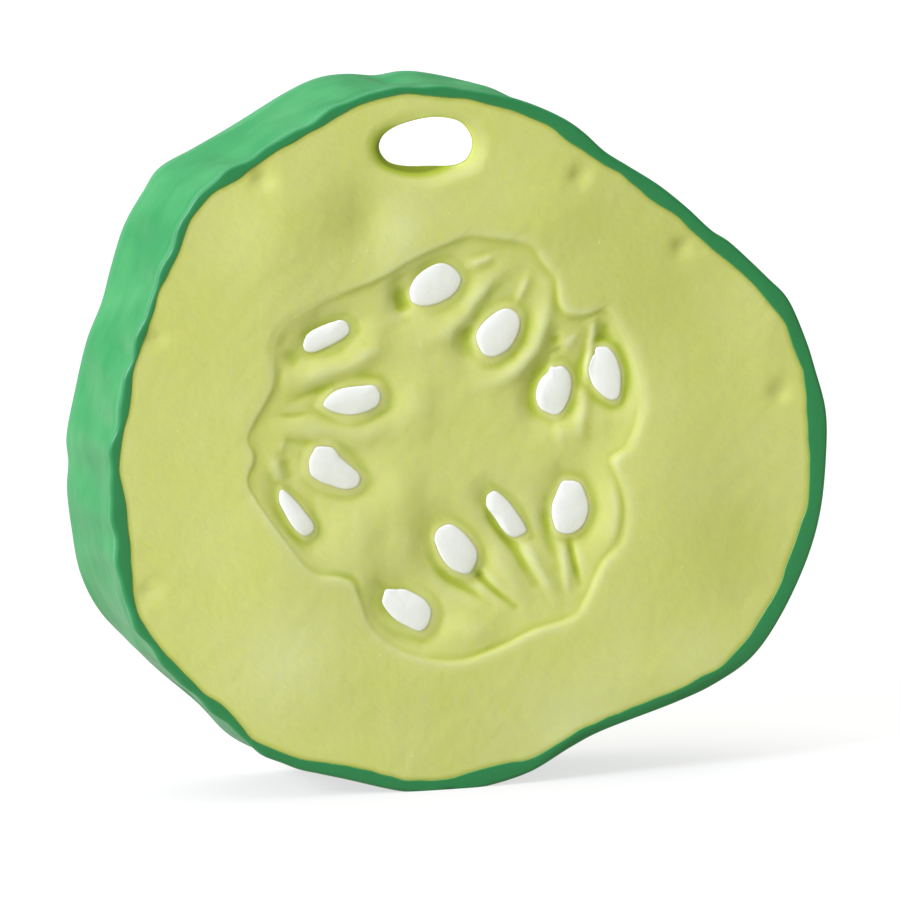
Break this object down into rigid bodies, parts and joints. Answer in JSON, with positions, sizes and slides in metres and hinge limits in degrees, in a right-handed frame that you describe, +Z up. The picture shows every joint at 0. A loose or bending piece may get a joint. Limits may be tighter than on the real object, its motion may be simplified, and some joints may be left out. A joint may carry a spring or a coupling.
{
  "type": "cucumber slice teether",
  "caption": "Thick slice of cucumber in soft moulded rubber, a teether with raised seeds and a slot near the top, standing on its rim.",
  "frame": {"origin": "bottom centre of the slice, on the surface that its flat foot rests on", "axes": "+Z up, front face towards -Y, +Y through the thickness to the back face, +X to the right of the front face"},
  "size_m": [0.0952, 0.0196, 0.0891],
  "materials": {
    "flesh_rubber": "satin moulded natural rubber, pale lime",
    "rind_paint": "brushed-on satin green over the rubber",
    "seed_paint": "satin off-white paint over the rubber"
  },
  "bodies": {
    "root": {"slice": "flesh_rubber"}
  },
  "joints": []
}
